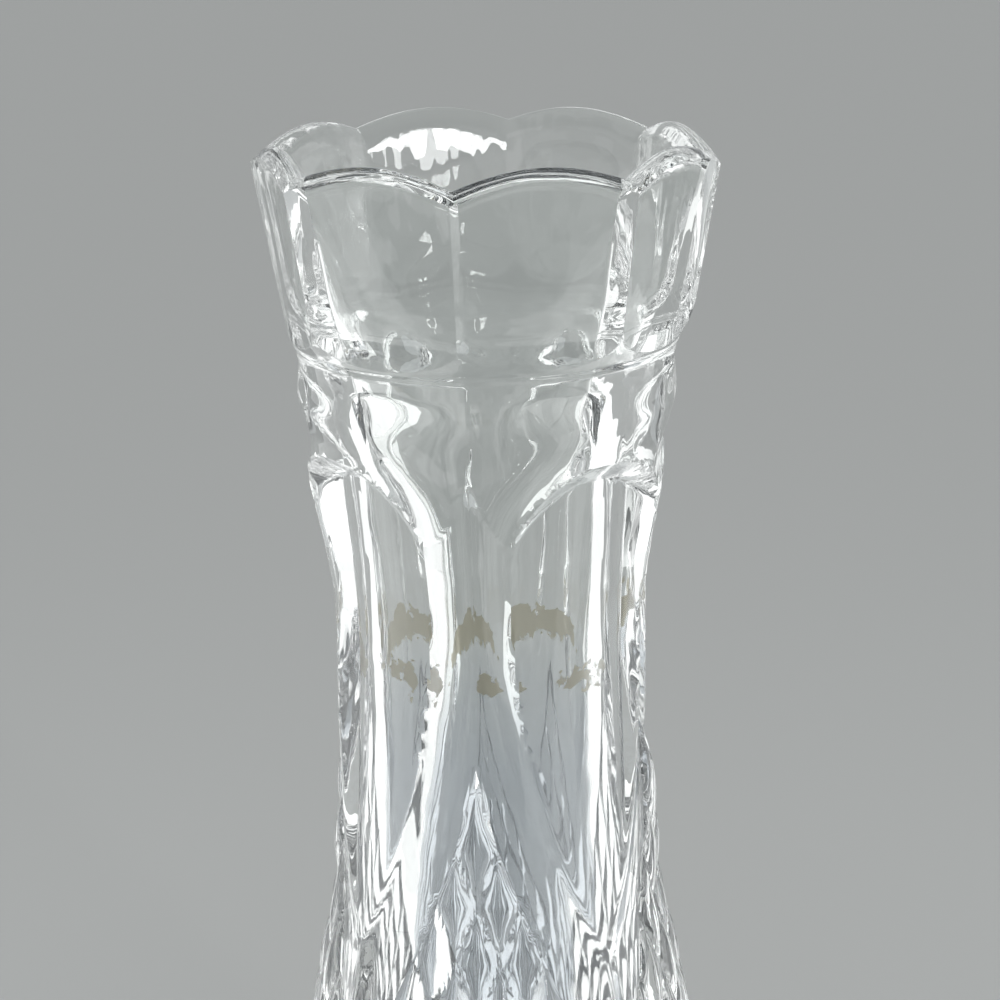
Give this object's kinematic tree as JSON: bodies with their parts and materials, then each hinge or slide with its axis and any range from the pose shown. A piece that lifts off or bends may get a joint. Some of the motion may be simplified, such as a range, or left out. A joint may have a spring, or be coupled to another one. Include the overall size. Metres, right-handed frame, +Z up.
{
  "type": "bud vase",
  "caption": "Slender pressed-glass bud vase: scalloped faceted crown, narrow neck with flat leaf-shaped panels, and a diamond-cut body on a plain round foot.",
  "frame": {"origin": "centre of the underside, at the height of the table that the vase stands on", "axes": "+Z up along the vase's axis; a corner of the crown and the middle of a field of diamonds face -Y"},
  "size_m": [0.0636, 0.0636, 0.2048],
  "materials": {
    "pressed_glass": "clear fire-polished soda-lime glass"
  },
  "bodies": {
    "root": {"vase": "pressed_glass"}
  },
  "joints": []
}
